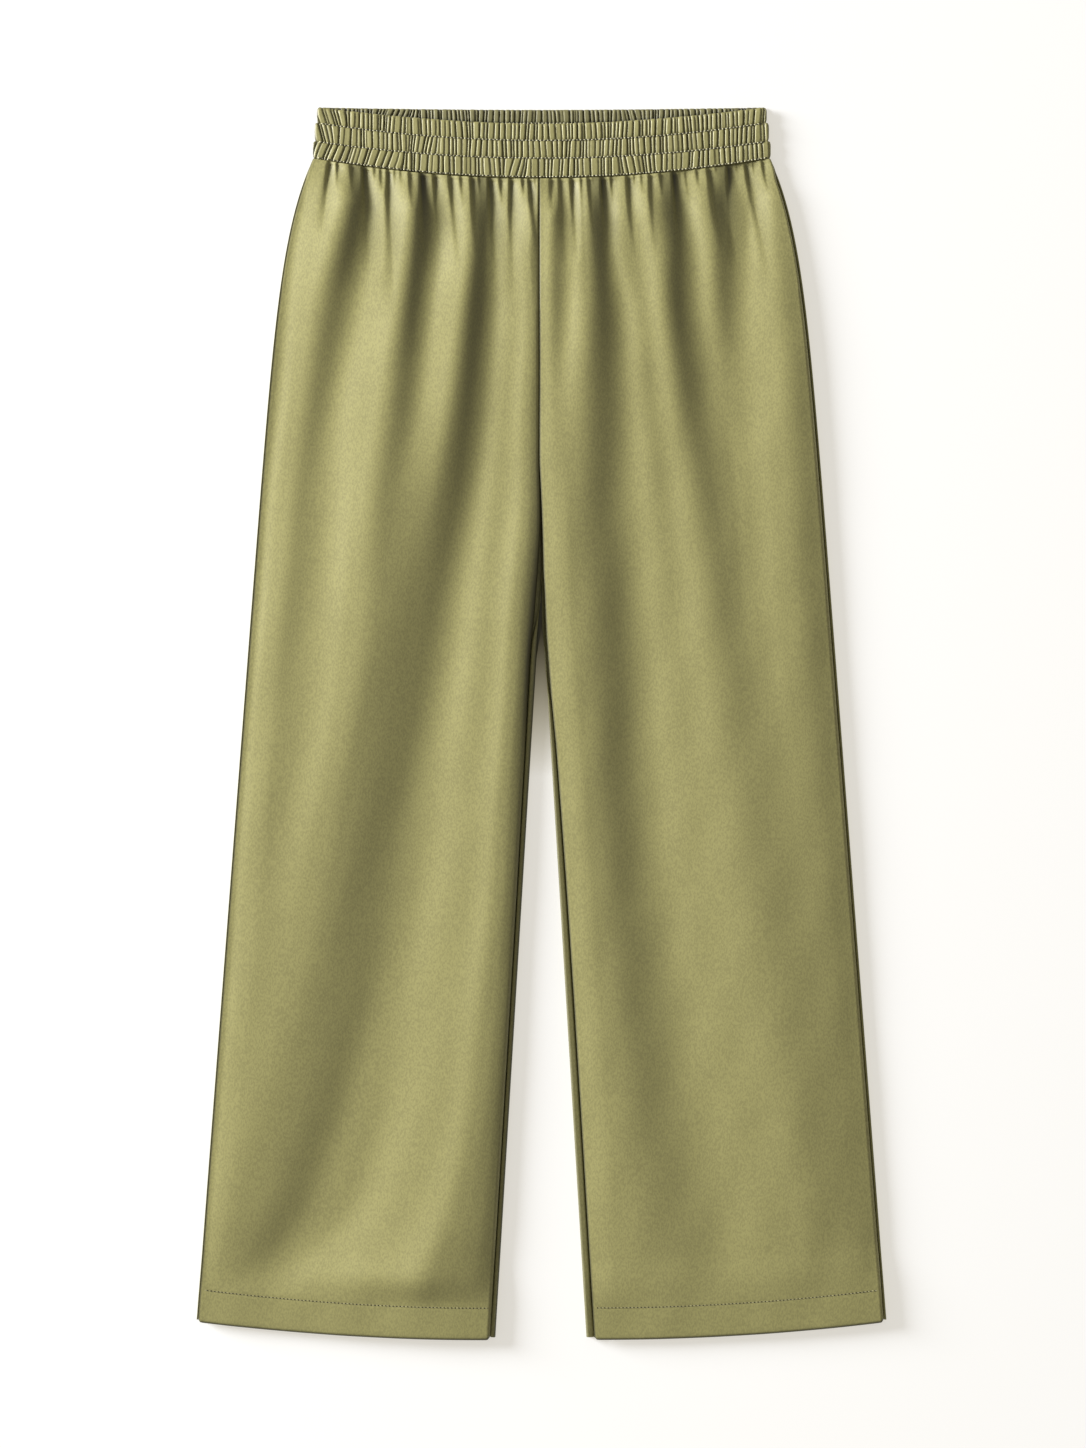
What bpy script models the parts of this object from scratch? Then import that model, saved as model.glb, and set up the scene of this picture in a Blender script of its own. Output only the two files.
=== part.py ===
"""Pull-on wide-leg satin trousers, laid flat on their back with the front up.

Metres, +Z up. +X is on the right of someone looking down at the front, +Y runs from the hems to
the waist, and the cloth rests on Z = 0 under the middle of the garment. "Down" below means the
distance from the top of the waistband towards the hems.
"""

import math
import random

import bmesh
import bpy

MM = 0.001

# Driving sizes of the garment, laid flat
LENGTH = 1.047  # top of the waistband to the lowest point of the hems
HEM_SPREAD = 0.2928  # middle of the garment to the outer corner of a hem
WAIST_HALF = 0.191  # half of the relaxed waistband's top edge
CROTCH_DOWN = 0.393
BAND_DEPTH = 0.0434  # waistband, measured at the side seams
HEM_DEPTH = 0.025

# Outline
SIDE_TAPER = 0.0765  # how fast the side seam closes in, going up
HIP_ROUND = 0.0233  # how much further it closes in just under the waistband
HIP_RUN = 0.060
INSEAM_SPREAD = 0.0605  # how fast the inseam opens from the crotch
HEM_RISE = 0.015  # the outer corner of a hem lies this much above its inner corner
BAND_FLARE = 0.0033  # the waistband's lower edge against its top, at each side
SEAM_DIP = 0.017  # the front waistband's seam to the panels hangs this much at the middle
BACK_DIP = 0.002
FRONT_SEAM_OFFSET = 0.002  # the centre front seam lies a little to the wearer's right
SEAM_OFFSET_RUN = 0.100

# Thicknesses and heights
CLOTH = 1.5 * MM
SEAM_GAP = 0.3 * MM
HEM_CLOTH = 1.0 * MM
FRONT_FLOOR = CLOTH + SEAM_GAP  # the front panels' inside, where no fold lifts it
HEM_LIFT = 2 * (HEM_CLOTH + SEAM_GAP)  # the two turn-ups lie between the panels
HEM_LIFT_RUN = 0.045
FOLD_FOLLOW = 0.72  # how much of a fold the inside of the wall follows

# The back panels roll round to the front along the side seam and the inseam
SIDE_ROLL = 3.6 * MM
INSEAM_ROLL = 6.0 * MM
ROLL_RISE = 0.9 * MM  # the roll stands this much above the front panel's edge
ROLL_RUN = 0.020  # a roll takes this much to reach its full height
SIDE_ROLL_STARTS = 0.046
INSEAM_ROLL_STARTS = 0.406
INSEAM_INSET_RUN = 0.012  # just above that, the front panel's edge draws in beside the roll

# Gathers
BAND_GATHERS = 76
PANEL_GATHERS = 24
GATHER_HEIGHT = 2.2 * MM
GATHER_RUN = (0.016, 0.060)  # shortest and longest gather under the waistband
PUFF = 1.2 * MM  # the panels puff up just under the waistband
PUFF_RISE = 0.008
PUFF_RUN = 0.030

# The waistband's rows of points: how far down at the side and in the middle, how high the crest
# and the valley of a gather are above the band's inside, and how far the silhouette swells.
FRONT_BAND_ROWS = (
    # side mm, middle mm, crest mm, valley mm, swell mm
    (0.4, 14.5, 2.2, 1.2, -0.8),
    (3.2, 17.4, 3.9, 1.4, 0.4),
    (8.4, 22.8, 4.3, 1.5, 0.6),
    (13.2, 28.6, 2.6, 1.1, -0.2),
    (21.0, 36.0, 4.3, 1.5, 0.9),
    (28.9, 43.4, 2.6, 1.1, -0.2),
    (36.4, 52.0, 4.3, 1.5, 0.9),
    (43.4, 60.4, 2.6, 1.1, 0.0),
)
BACK_BAND_ROWS = (
    (0.0, 2.0, 1.8, 1.1, -0.8),
    (5.5, 7.6, 3.4, 1.6, 0.6),
    (12.9, 15.0, 2.2, 1.1, -0.2),
    (20.6, 22.8, 3.4, 1.6, 0.9),
    (28.4, 30.4, 2.2, 1.1, -0.2),
    (36.0, 38.0, 3.4, 1.6, 0.9),
    (43.4, 45.4, 2.2, 1.1, 0.0),
)
FRONT_BAND_FLOOR = 3.4 * MM + SEAM_GAP

# Main folds of the front panels. Each row is the line of one crest or one valley. Its place is in
# hundredths of the panel's width from the side seam, and its height in millimetres, both at the
# five levels.
FOLD_LEVELS = (0.070, 0.190, 0.380, 0.640, 1.040)
RIGHT_FOLDS = (
    # place at waist, hip, crotch, knee, hem; height at waist, hip, crotch, knee, hem
    ((12.8, 12.0, 10.0, 7.2, 2.0), (3.6, 4.0, 3.6, 2.8, 1.6)),
    ((25.6, 27.5, 22.0, 17.6, 5.0), (0.8, 1.0, 1.8, 2.6, 1.9)),
    ((41.8, 43.7, 39.0, 32.9, 8.5), (4.2, 4.5, 4.3, 4.6, 2.6)),
    ((56.4, 55.2, 49.4, 44.0, 14.0), (0.8, 1.4, 3.0, 3.2, 2.2)),
    ((69.2, 67.6, 58.0, 52.0, 20.0), (4.4, 3.6, 2.4, 1.8, 1.4)),
    ((78.6, 78.4, 71.4, 60.8, 28.4), (0.6, 0.4, 0.6, 0.8, 0.8)),
    ((91.4, 95.0, 92.1, 91.5, 77.6), (3.8, 3.4, 3.8, 4.2, 2.8)),
)
LEFT_FOLDS = (
    ((5.8, 8.8, 9.5, 10.5, 6.0), (3.6, 3.8, 3.6, 3.4, 2.2)),
    ((17.1, 22.0, 20.0, 14.0, 9.0), (1.0, 1.6, 2.4, 2.9, 2.4)),
    ((28.4, 31.5, 24.5, 17.6, 12.0), (3.8, 3.0, 2.0, 2.6, 2.4)),
    ((38.5, 41.3, 28.0, 21.5, 15.0), (0.8, 1.0, 1.5, 2.3, 2.4)),
    ((51.9, 49.7, 42.2, 36.5, 20.0), (4.2, 4.2, 4.0, 4.2, 2.6)),
    ((65.3, 70.0, 69.5, 70.8, 53.9), (0.5, 0.6, 0.8, 0.8, 0.8)),
    ((78.2, 81.5, 85.5, 88.6, 81.1), (4.4, 4.6, 4.6, 4.8, 3.0)),
    ((88.7, 90.5, 93.0, 94.0, 92.0), (1.2, 1.8, 3.4, 3.2, 2.2)),
    ((95.0, 95.6, 96.4, 97.4, 97.0), (2.8, 2.6, 2.6, 2.4, 1.8)),
)
EDGE_RELIEF = 0.5 * MM  # the panel's edges, at the seams

# Levels of the panels' points, measured down the side seam from the waistband
PANEL_LENGTH = LENGTH - HEM_RISE - BAND_DEPTH
GATHER_LEVELS = (0.0, 0.003, 0.008, 0.015, 0.024, 0.036, 0.052, 0.074, 0.100)
LEG_LEVELS = (0.140, 0.185, 0.235, 0.285, 0.340, 0.355, 0.370, 0.400, 0.450, 0.510,
              0.580, 0.650, 0.720, 0.790, 0.850, 0.900, 0.935)
HEM_LEVELS = (PANEL_LENGTH - HEM_DEPTH, PANEL_LENGTH - HEM_DEPTH / 2, PANEL_LENGTH)
FRONT_LEVELS = GATHER_LEVELS + LEG_LEVELS + HEM_LEVELS
BACK_LEVELS = GATHER_LEVELS[:1] + GATHER_LEVELS[3:] + LEG_LEVELS + HEM_LEVELS
BACK_COLUMNS = 5
HEM_COLUMNS = 12


def smooth(t):
    """0 below 0, 1 above 1, and an even S between."""
    t = min(max(t, 0.0), 1.0)
    return t * t * (3 - 2 * t)


def mix(a, b, t):
    return a + (b - a) * t


def through(levels, values, at):
    """A smooth curve through the values at the levels, level beyond its ends."""
    if at <= levels[0]:
        return values[0]
    if at >= levels[-1]:
        return values[-1]
    last = len(levels) - 1
    i = max(k for k in range(last) if levels[k] <= at)
    run = levels[i + 1] - levels[i]
    t = (at - levels[i]) / run
    slopes = []
    for k in (i, i + 1):
        before = max(k - 1, 0)
        after = min(k + 1, last)
        slopes.append((values[after] - values[before]) / (levels[after] - levels[before]))
    start = (1 + 2 * t) * (1 - t) ** 2 * values[i] + t * (1 - t) ** 2 * run * slopes[0]
    end = t * t * (3 - 2 * t) * values[i + 1] - t * t * (1 - t) * run * slopes[1]
    return start + end


# Outline of the garment


def side_edge(down):
    """Distance from the middle to the side of the garment."""
    hip = HIP_ROUND * math.exp(-(down - BAND_DEPTH) / HIP_RUN)
    return HEM_SPREAD - SIDE_TAPER * (LENGTH - HEM_RISE - down) - hip


def inseam_edge(down):
    """Distance from the middle to the inner edge of a leg."""
    return max(SEAM_GAP / 2, INSEAM_SPREAD * (down - CROTCH_DOWN))


def front_centre(down):
    """How far the centre front seam lies to one side."""
    return -FRONT_SEAM_OFFSET * smooth((CROTCH_DOWN - down) / SEAM_OFFSET_RUN)


def front_seam(x):
    """How far down the seam of the front waistband lies."""
    return BAND_DEPTH + SEAM_DIP * (1 - min(abs(x) / (WAIST_HALF + BAND_FLARE), 1) ** 2)


def front_seam_at(u):
    """How far down that seam lies at a place across the front panel (0 side, 1 centre)."""
    down = BAND_DEPTH
    for _ in range(4):
        down = front_seam((1 - u) * front_outer(down))
    return down


def back_seam(x):
    return BAND_DEPTH + BACK_DIP * (1 - min(abs(x) / (WAIST_HALF + BAND_FLARE), 1) ** 2)


def hem_line(inward):
    """How far down the hem lies, from its outer corner (0) to its inner corner (1)."""
    return LENGTH - HEM_RISE * (1 - inward) ** 2


def front_outer(down):
    """Distance from the middle to the front panel's edge at the side seam."""
    return side_edge(down) - SIDE_ROLL - SEAM_GAP


def front_inner(down):
    """Distance from the middle to the front panel's edge at the inseam."""
    drawn_in = smooth((down - INSEAM_ROLL_STARTS) / INSEAM_INSET_RUN + 1)
    return inseam_edge(down) + (INSEAM_ROLL + SEAM_GAP) * drawn_in


def hem_lift(above_hem):
    return HEM_LIFT * (1 - smooth((above_hem - HEM_DEPTH) / HEM_LIFT_RUN))


def on_floor(x, down, z):
    """A point of the garment in its own frame."""
    return (x, LENGTH / 2 - down, z)


# Mesh and material


def satin(name, colour, roughness):
    material = bpy.data.materials.new(name)
    material.use_nodes = True
    shader = material.node_tree.nodes["Principled BSDF"]
    shader.inputs["Base Color"].default_value = (*colour, 1.0)
    shader.inputs["Roughness"].default_value = roughness
    shader.inputs["Metallic"].default_value = 0.0
    shader.inputs["Sheen Weight"].default_value = 0.25
    return material


def add_piece(name, mesh_builder, collection, material):
    """A named object from a bmesh whose faces are turned outwards."""
    bmesh.ops.recalc_face_normals(mesh_builder, faces=mesh_builder.faces[:])
    if mesh_builder.calc_volume(signed=True) < 0:
        bmesh.ops.reverse_faces(mesh_builder, faces=mesh_builder.faces[:])
    mesh = bpy.data.meshes.new(name)
    mesh_builder.to_mesh(mesh)
    mesh_builder.free()
    mesh.materials.append(material)
    mesh.shade_smooth()
    mesh.set_sharp_from_angle(angle=math.radians(75))
    piece = bpy.data.objects.new(name, mesh)
    collection.objects.link(piece)
    return piece


def unit_grid(columns, rows):
    """A flat grid whose points run from 0 to columns across and 0 to rows down."""
    grid = bmesh.new()
    bmesh.ops.create_grid(grid, x_segments=columns, y_segments=rows, size=0.5)
    for point in grid.verts:
        point.co.x = (point.co.x + 0.5) * columns
        point.co.y = (0.5 - point.co.y) * rows
    return grid


def add_inside(grid):
    """Doubles a flat sheet into a closed wall: its outside at height 0, its inside at height -1."""
    doubled = bmesh.ops.extrude_face_region(grid, geom=grid.faces[:])
    inside = [part for part in doubled["geom"] if isinstance(part, bmesh.types.BMVert)]
    bmesh.ops.translate(grid, verts=inside, vec=(0.0, 0.0, -1.0))


def close_below(grid):
    """Closes a raised sheet whose border lies flat, with one face under it."""
    border = [edge for edge in grid.edges if edge.is_boundary]
    bmesh.ops.contextual_create(grid, geom=border)


def rows_at(levels, row):
    """The level of a row, or of a place between two rows."""
    i = min(int(row), len(levels) - 2)
    return mix(levels[i], levels[i + 1], row - i)


# Waistband


def waistband(name, rows, floor, seed, collection, material):
    """Half of the waistband: puffed channels of gathers between stitched rows, over a flat inside."""
    columns = 2 * BAND_GATHERS
    grid = unit_grid(columns + 2, len(rows) + 1)
    uneven = random.Random(seed)
    places = [uneven.uniform(-0.28, 0.28) for _ in range(columns + 1)]
    strengths = [uneven.uniform(0.72, 1.0) for _ in range(columns + 1)]
    for point in grid.verts:
        column = min(max(round(point.co.x) - 1, 0), columns)
        row = min(max(round(point.co.y) - 1, 0), len(rows) - 1)
        on_border = round(point.co.x) in (0, columns + 2) or round(point.co.y) in (0, len(rows) + 1)
        side, middle, crest, valley, swell = (value * MM for value in rows[row])
        inner = column not in (0, columns)
        across = 2 * (column + (places[column] if inner else 0)) / columns - 1
        dip = 1 - (0.62 * across**2 + 0.38 * across**8 if row == 0 else across**2)
        down = mix(side, middle, dip)
        half = WAIST_HALF + BAND_FLARE * down / (BAND_DEPTH + SEAM_DIP) + swell
        raised = valley
        if inner and column % 2:
            raised = mix(valley, crest, strengths[column])
        point.co = on_floor(across * half, down, floor + (0.0 if on_border else raised))
    close_below(grid)
    return add_piece(name, grid, collection, material)


# Front panels


def fold_relief(folds, u, down):
    """Height of the main folds at a place across the panel (0 side, 1 centre)."""
    lines = [(0.0, EDGE_RELIEF)]
    for places, heights in folds:
        lines.append((through(FOLD_LEVELS, places, down) / 100, through(FOLD_LEVELS, heights, down) * MM))
    lines.append((1.0, EDGE_RELIEF))
    for (left, low), (right, high) in zip(lines, lines[1:]):
        if u <= right:
            return mix(low, high, 0.5 - 0.5 * math.cos(math.pi * (u - left) / max(right - left, 1e-6)))
    return EDGE_RELIEF


def gather_relief(gathers, u, below_seam):
    """Height of the small gathers that the waistband draws in, dying out below it."""
    phase = u * PANEL_GATHERS
    strength, run = gathers[min(int(phase), PANEL_GATHERS - 1)]
    wave = 0.5 + 0.5 * math.cos(2 * math.pi * (phase - 1 / 3))
    return strength * wave * math.exp(-below_seam / run)


def front_panel(name, side, folds, seed, collection, material):
    """One front leg panel. side is -1 for the wearer's right and +1 for the left."""
    grid = unit_grid(PANEL_GATHERS, len(FRONT_LEVELS) - 1)
    last_gather_row = len(GATHER_LEVELS) - 1
    across_gathers = [
        edge for edge in grid.edges
        if edge.verts[0].co.y == edge.verts[1].co.y and edge.verts[0].co.y <= last_gather_row + 0.01
    ]
    bmesh.ops.subdivide_edges(grid, edges=across_gathers, cuts=2, use_grid_fill=True)

    uneven = random.Random(seed)
    gathers = [
        (GATHER_HEIGHT * uneven.uniform(0.35, 1.0), mix(*GATHER_RUN, uneven.random() ** 2))
        for _ in range(PANEL_GATHERS)
    ]
    add_inside(grid)
    for point in grid.verts:
        u = point.co.x / PANEL_GATHERS
        part = rows_at(FRONT_LEVELS, point.co.y) / PANEL_LENGTH
        top = front_seam_at(u) + SEAM_GAP
        down = mix(top, hem_line(u), part)
        outer = side * front_outer(down)
        inner = side * front_inner(down) + front_centre(down)
        lift = hem_lift(hem_line(u) - down)
        puff = PUFF * smooth((down - top) / PUFF_RISE) * math.exp((top - down) / PUFF_RUN)
        edge_fade = smooth(min(u, 1 - u) * PANEL_GATHERS)
        relief = fold_relief(folds, u, down)
        relief += edge_fade * (puff + gather_relief(gathers, u, down - top))
        if point.co.z < 0:
            z = FRONT_FLOOR + lift + FOLD_FOLLOW * relief
        else:
            z = FRONT_FLOOR + CLOTH + lift + relief
        point.co = on_floor(mix(outer, inner, u), down, z)
    return add_piece(name, grid, collection, material)


# Back panels


def roll_profile(roll, size, top):
    """Points of an edge, from the floor up, over and down to the plain wall: inset and height.

    Size 0 is the plain edge of the cloth, and size 1 the full roll.
    """
    plain = (
        (0.0, 0.0),
        (0.0, CLOTH / 2),
        (0.0, CLOTH),
        (0.3 * MM, CLOTH),
        (0.6 * MM, CLOTH),
        (0.9 * MM, CLOTH),
        (1.2 * MM, CLOTH),
    )
    rolled = (
        (0.9 * MM, 0.0),
        (0.0, 1.2 * MM),
        (0.0, top - 1.5 * MM),
        (0.8 * MM, top - 0.3 * MM),
        (2.0 * MM, top),
        (roll - 0.2 * MM, top - 0.1 * MM),
        (roll, CLOTH),
    )
    return [(mix(a, c, size), mix(b, d, size)) for (a, b), (c, d) in zip(plain, rolled)]


def back_panel(name, side, collection, material):
    """One back leg panel: flat where it rests, with its side and inseam rolled up to the front."""
    profile_points = len(roll_profile(SIDE_ROLL, 1.0, 0.0))
    columns = BACK_COLUMNS + 2 * profile_points
    grid = unit_grid(columns, len(BACK_LEVELS) + 1)
    for point in grid.verts:
        column = round(point.co.x)
        row = min(max(round(point.co.y) - 1, 0), len(BACK_LEVELS) - 1)
        on_end = round(point.co.y) in (0, len(BACK_LEVELS) + 1)
        u = min(max((column - profile_points) / BACK_COLUMNS, 0.0), 1.0)
        part = BACK_LEVELS[row] / PANEL_LENGTH
        top = back_seam((1 - u) * (WAIST_HALF + BAND_FLARE)) + SEAM_GAP
        down = mix(top, hem_line(u), part)
        roll_top = FRONT_FLOOR + CLOTH + hem_lift(hem_line(u) - down) + ROLL_RISE
        side_size = smooth((down - SIDE_ROLL_STARTS) / ROLL_RUN)
        inseam_size = smooth((down - INSEAM_ROLL_STARTS) / ROLL_RUN)
        side_points = roll_profile(SIDE_ROLL, side_size, roll_top)
        inseam_points = roll_profile(INSEAM_ROLL, inseam_size, roll_top)
        outer = side_edge(down)
        inner = inseam_edge(down)
        if column < profile_points:
            inset, z = side_points[column]
            x = outer - inset
        elif column > columns - profile_points:
            inset, z = inseam_points[columns - column]
            x = inner + inset
        else:
            x = mix(outer - side_points[-1][0] - MM, inner + inseam_points[-1][0] + MM, u)
            z = CLOTH
        point.co = on_floor(side * x, down, 0.0 if on_end else z)
    close_below(grid)
    return add_piece(name, grid, collection, material)


# Turn-ups


def turn_up(name, side, floor, collection, material):
    """The hem's turned-up strip, inside the leg between the panels."""
    grid = unit_grid(HEM_COLUMNS, 2)
    add_inside(grid)
    for point in grid.verts:
        u = point.co.x / HEM_COLUMNS
        down = hem_line(u) - HEM_DEPTH * (1 - point.co.y / 2)
        outer = side_edge(down) - SIDE_ROLL - MM
        inner = inseam_edge(down) + INSEAM_ROLL + MM
        z = floor if point.co.z < 0 else floor + HEM_CLOTH
        point.co = on_floor(side * mix(outer, inner, u), down, z)
    return add_piece(name, grid, collection, material)


def clear_scene():
    for thing in list(bpy.data.objects):
        bpy.data.objects.remove(thing)


clear_scene()
trousers = bpy.data.collections.new("satin_trousers")
bpy.context.scene.collection.children.link(trousers)

panel_satin = satin("panel_satin", (0.305, 0.279, 0.124), 0.38)
band_satin = satin("band_satin", (0.275, 0.250, 0.108), 0.42)
turn_up_satin = satin("turn_up_satin", (0.250, 0.230, 0.105), 0.60)

waistband("waistband_back", BACK_BAND_ROWS, 0.0, 5, trousers, band_satin)
waistband("waistband_front", FRONT_BAND_ROWS, FRONT_BAND_FLOOR, 9, trousers, band_satin)
back_panel("back_right", -1, trousers, panel_satin)
back_panel("back_left", 1, trousers, panel_satin)
front_panel("front_right", -1, RIGHT_FOLDS, 3, trousers, panel_satin)
front_panel("front_left", 1, LEFT_FOLDS, 4, trousers, panel_satin)
for leg, leg_side in (("right", -1), ("left", 1)):
    turn_up(f"hem_back_{leg}", leg_side, CLOTH + SEAM_GAP, trousers, turn_up_satin)
    turn_up(f"hem_front_{leg}", leg_side, CLOTH + 2 * SEAM_GAP + HEM_CLOTH, trousers, turn_up_satin)
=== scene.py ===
"""Pull-on wide-leg satin trousers laid flat, photographed from straight above.

Metres, +Z up. +X is on the right in the picture, +Y runs from the hems to the waist, and the cloth
rests on Z = 0. "Down" is the distance from the top of the waistband towards the hems. "right" is
the wearer's right leg (-X), and "left" the wearer's left leg (+X).
"""

import math
import random

import bmesh
import bpy
import numpy as np
from mathutils import Matrix, Vector


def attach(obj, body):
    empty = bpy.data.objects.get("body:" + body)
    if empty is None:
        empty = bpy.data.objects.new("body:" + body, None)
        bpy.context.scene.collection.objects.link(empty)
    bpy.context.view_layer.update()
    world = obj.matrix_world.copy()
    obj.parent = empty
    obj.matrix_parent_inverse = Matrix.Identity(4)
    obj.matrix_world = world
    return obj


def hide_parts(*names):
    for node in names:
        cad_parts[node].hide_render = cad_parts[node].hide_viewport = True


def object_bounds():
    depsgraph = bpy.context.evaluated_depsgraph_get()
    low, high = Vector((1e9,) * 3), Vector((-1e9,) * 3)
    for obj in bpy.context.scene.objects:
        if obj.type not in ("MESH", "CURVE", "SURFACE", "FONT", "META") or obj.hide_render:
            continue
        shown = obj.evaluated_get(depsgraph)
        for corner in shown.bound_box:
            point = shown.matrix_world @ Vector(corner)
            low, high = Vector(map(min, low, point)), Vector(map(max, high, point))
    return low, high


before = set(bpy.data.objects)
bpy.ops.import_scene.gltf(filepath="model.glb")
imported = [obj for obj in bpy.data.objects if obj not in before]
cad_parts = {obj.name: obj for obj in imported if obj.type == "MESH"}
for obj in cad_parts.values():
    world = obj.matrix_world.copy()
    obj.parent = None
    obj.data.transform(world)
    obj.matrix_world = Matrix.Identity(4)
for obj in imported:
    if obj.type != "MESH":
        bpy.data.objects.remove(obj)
cad_low, cad_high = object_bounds()

# Camera
# The garment lies flat, and the picture is taken from straight above its middle with a long lens.

MM = 0.001
PICTURE_HEIGHT_PIXELS = 1448
PIXEL = 0.85 * MM  # what one pixel of the picture covers on the floor
GARMENT_MIDDLE_OFFSET = -1.2 * PIXEL  # the garment's middle, against the picture's

camera_data = bpy.data.cameras.new("camera")
camera_data.sensor_fit = "VERTICAL"
camera_data.sensor_height = 36
camera_data.lens = 120
camera = bpy.data.objects.new("camera", camera_data)
bpy.context.scene.collection.objects.link(camera)
camera_height = PICTURE_HEIGHT_PIXELS * PIXEL * camera_data.lens / camera_data.sensor_height
camera.location = (-GARMENT_MIDDLE_OFFSET, 0, camera_height)
bpy.context.scene.camera = camera

# Light
# One large soft lamp low on the upper left of the picture, and pale light from all round.

LAMP_ELEVATION = math.radians(17)
LAMP_TURN = math.radians(18)  # from straight left, towards the top of the picture
LAMP_DISTANCE = 6.0
LAMP_SIZE = 2.5
LAMP_STRENGTH = 7.2  # watts on each square metre that faces the lamp
ROOM_STRENGTH = 0.29

lamp_data = bpy.data.lights.new("soft_lamp", "AREA")
lamp_data.shape = "DISK"
lamp_data.size = LAMP_SIZE
lamp_data.energy = LAMP_STRENGTH * math.pi * LAMP_DISTANCE**2
lamp = bpy.data.objects.new("soft_lamp", lamp_data)
bpy.context.scene.collection.objects.link(lamp)
towards_lamp = Vector((
    -math.cos(LAMP_ELEVATION) * math.cos(LAMP_TURN),
    math.cos(LAMP_ELEVATION) * math.sin(LAMP_TURN),
    math.sin(LAMP_ELEVATION),
))
lamp.rotation_euler = towards_lamp.to_track_quat("Z", "Y").to_euler()
lamp.location = towards_lamp * LAMP_DISTANCE


def set_inputs(node, values):
    """Sets the node's inputs of these names to these values."""
    for name, value in values.items():
        node.inputs[name].default_value = value


room = bpy.data.worlds.new("pale_room")
room.use_nodes = True
background = room.node_tree.nodes["Background"]
set_inputs(background, {"Color": (1.0, 0.97, 0.91, 1), "Strength": ROOM_STRENGTH})
bpy.context.scene.world = room
bpy.context.scene.view_settings.view_transform = "Standard"

# Floor
# A plain white light table under the garment: its own glow keeps the shadows pale. Where the legs
# part, a shade is painted into the table's glow and colour, with a warm tint, as the shadow of the
# cloth on both sides.

FLOOR_SIZE = 40.0
FLOOR_DROP = 0.15 * MM  # keeps the floor just clear of the cloth
TABLE_GLOW = 0.585
# The painted shade runs down from SHADE_TOP, and fades out over SHADE_RUN. Above it the cloth hides
# the table, and past SHADE_END, beyond the waist, there is none.
SHADE_TOP = 0.093
SHADE_RUN = 0.138
SHADE_END = SHADE_TOP + 0.15
SHADE_HALF_WIDTH = 0.060
SHADE_FADE = 1.5  # the power of the fade
# the share of the glow that is left where the painted shade is darkest
DARKEST_TABLE = 0.03

floor_builder = bmesh.new()
bmesh.ops.create_grid(floor_builder, x_segments=2, y_segments=2, size=FLOOR_SIZE / 2)
bmesh.ops.translate(floor_builder, verts=floor_builder.verts[:], vec=(0, 0, -FLOOR_DROP))
floor_mesh = bpy.data.meshes.new("floor")
floor_builder.to_mesh(floor_mesh)
floor_builder.free()
floor = bpy.data.objects.new("floor", floor_mesh)
bpy.context.scene.collection.objects.link(floor)
table = bpy.data.materials.new("white_light_table")
table.use_nodes = True
table_nodes = table.node_tree.nodes
table_link = table.node_tree.links.new
table_shader = table_nodes["Principled BSDF"]
set_inputs(table_shader, {"Roughness": 0.9, "Specular IOR Level": 0.1})
floor_mesh.materials.append(table)


def table_math(operation, *terms):
    """A step of arithmetic in the table's material, on numbers and other nodes' outputs."""
    node = table_nodes.new("ShaderNodeMath")
    node.operation = operation
    for socket, term in zip(node.inputs, terms):
        if isinstance(term, float):
            socket.default_value = term
        else:
            table_link(term, socket)
    return node.outputs["Value"]


table_place = table_nodes.new("ShaderNodeTexCoord")
table_axes = table_nodes.new("ShaderNodeSeparateXYZ")
table_link(table_place.outputs["Object"], table_axes.inputs["Vector"])
# The painted shade between the legs: darkest near the crotch, fading down the gap
parting = table_nodes.new("ShaderNodeMapRange")
set_inputs(parting, {
    "From Min": SHADE_TOP, "From Max": SHADE_TOP - SHADE_RUN, "To Min": DARKEST_TABLE,
})
table_link(table_axes.outputs["Y"], parting.inputs["Value"])
faded = table_math("POWER", parting.outputs["Result"], SHADE_FADE)
beside = table_math("GREATER_THAN", table_math("ABSOLUTE", table_axes.outputs["X"]), SHADE_HALF_WIDTH)
beyond = table_math("GREATER_THAN", table_axes.outputs["Y"], SHADE_END)
unshaded = table_math("MAXIMUM", faded, table_math("MAXIMUM", beside, beyond))
table_link(table_math("MULTIPLY", unshaded, TABLE_GLOW), table_shader.inputs["Emission Strength"])
# The painted shade darkens the table's colour and warms its glow
for socket, shaded_tint, tint in (
    ("Base Color", (0.030, 0.024, 0.014, 1), (0.50, 0.52, 0.56, 1)),
    ("Emission Color", (1.0, 0.86, 0.45, 1), (1.0, 0.95, 0.85, 1)),
):
    table_tint = table_nodes.new("ShaderNodeMix")
    table_tint.data_type = "RGBA"
    set_inputs(table_tint, {"A": shaded_tint, "B": tint})
    table_link(unshaded, table_tint.inputs["Factor"])
    table_link(table_tint.outputs["Result"], table_shader.inputs[socket])

# Back panels
# Two leg panels of polyester satin, lying on the floor under everything else. Along the side seam
# and the inseam they roll round to the front, so that the seam shows a few millimetres in.

LENGTH = cad_high.y - cad_low.y
HEM_SPREAD = cad_high.x
WAIST_HALF = 0.191
CROTCH_DOWN = 0.393
BAND_DEPTH = 0.0434  # the waistband at the side seams
HEM_DEPTH = 0.0275
SIDE_TAPER = 0.0765  # how fast the side closes in, going up
HIP_ROUND = 0.0233  # how much further it closes in just under the waistband
HIP_RUN = 0.060
INSEAM_SPREAD = 0.0605
LEAST_INSEAM = 0.15 * MM  # half the parting between the legs' edges, above the crotch
HEM_RISE = 0.015  # the outer corner of a hem lies this much above its inner corner
HEM_SHORT = 0.8 * MM
HEM_CORNER = 2.4 * MM  # how far a rounded corner falls short of the hem
CORNER_RUN = 0.014  # the share of a hem's width over which its corners are rounded
BAND_FLARE = 0.0033  # how much further out than the waistband the panels' seam to it reaches
BACK_DIP = 0.002  # how much the back waistband's seam hangs at the middle

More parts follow.
